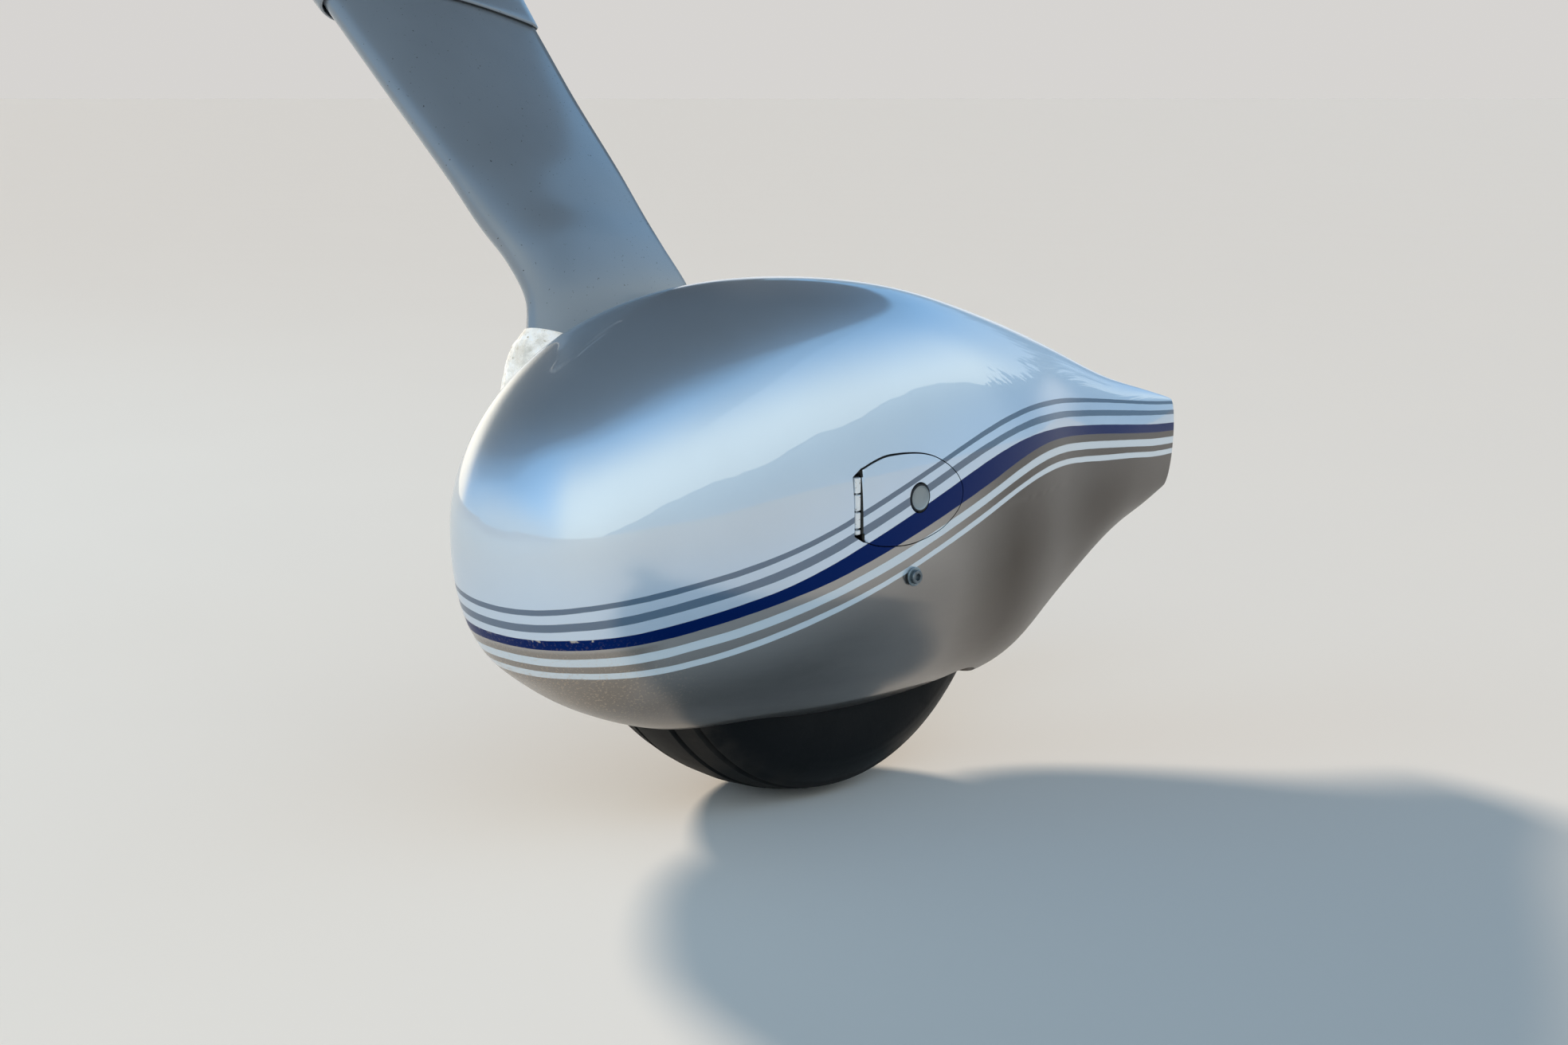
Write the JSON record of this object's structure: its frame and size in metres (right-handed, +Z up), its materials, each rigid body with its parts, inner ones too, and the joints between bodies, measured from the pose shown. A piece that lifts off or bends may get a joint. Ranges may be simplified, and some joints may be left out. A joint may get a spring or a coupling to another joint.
{
  "type": "faired main landing gear leg and wheel",
  "caption": "Left main gear leg of a light aircraft: cantilever leg in a slim fairing, braked wheel in a teardrop wheel fairing with a hinged access door.",
  "frame": {"origin": "centre of the flat top face of the root fitting, where the leg bolts up inside the wing", "axes": "+X outboard (left of the aircraft), -Y forward, +Z up; the wheel axle is along X"},
  "size_m": [0.6462, 0.7812, 0.746],
  "materials": {
    "silver_paint": "gloss metallic silver with stripes",
    "leg_paint": "gloss metallic slate silver",
    "composite": "glass fibre and resin, matt dark",
    "clear_film": "milky translucent film",
    "steel": "machined",
    "alloy": "cast and machined",
    "disc_iron": "turned faces, light rust",
    "brake_lining": "moulded friction material",
    "tyre": "matt black rubber",
    "rubber": "satin black",
    "zinc_hardware": "passivated zinc plate"
  },
  "bodies": {
    "gear": {"root_fitting": "steel", "root_bolt_1": "zinc_hardware", "root_bolt_2": "zinc_hardware", "leg_strut": "composite", "leg_fairing": "leg_paint", "root_cuff": "silver_paint", "gap_film": "clear_film", "axle_fitting": "alloy", "strut_bolt_1": "zinc_hardware", "strut_bolt_2": "zinc_hardware", "strut_bolt_3": "zinc_hardware", "strut_bolt_4": "zinc_hardware", "axle": "steel", "axle_nut": "zinc_hardware", "fairing_standoff": "alloy", "axle_end_bolt": "steel", "axle_end_washer": "steel", "caliper": "alloy", "caliper_bolt_1": "zinc_hardware", "caliper_bolt_2": "zinc_hardware", "pad_outer": "brake_lining", "pad_inner": "brake_lining", "brake_line": "rubber", "wheel_fairing": "silver_paint", "fairing_bracket": "alloy", "bracket_screw_1": "zinc_hardware", "bracket_screw_2": "zinc_hardware", "hinge_fixed_leaf": "steel", "hinge_pin": "steel"},
    "wheel": {"tyre": "tyre", "rim_outer": "alloy", "rim_inner": "alloy", "tie_bolt_1": "zinc_hardware", "tie_bolt_2": "zinc_hardware", "tie_bolt_3": "zinc_hardware", "valve_stem": "rubber", "brake_disc": "disc_iron"},
    "door": {"access_door": "silver_paint", "door_latch": "zinc_hardware", "hinge_door_leaf": "steel"}
  },
  "joints": [
    {"name": "wheel_spin", "type": "hinge", "parent": "gear", "child": "wheel", "pos_m": [0.44, 0.11, -0.56], "axis": [1, 0, 0], "continuous": true},
    {"name": "access_door_hinge", "type": "hinge", "parent": "gear", "child": "door", "pos_m": [0.5714, 0.0515, -0.5], "axis": [0, 0, -1], "range_deg": [0, 90]}
  ]
}
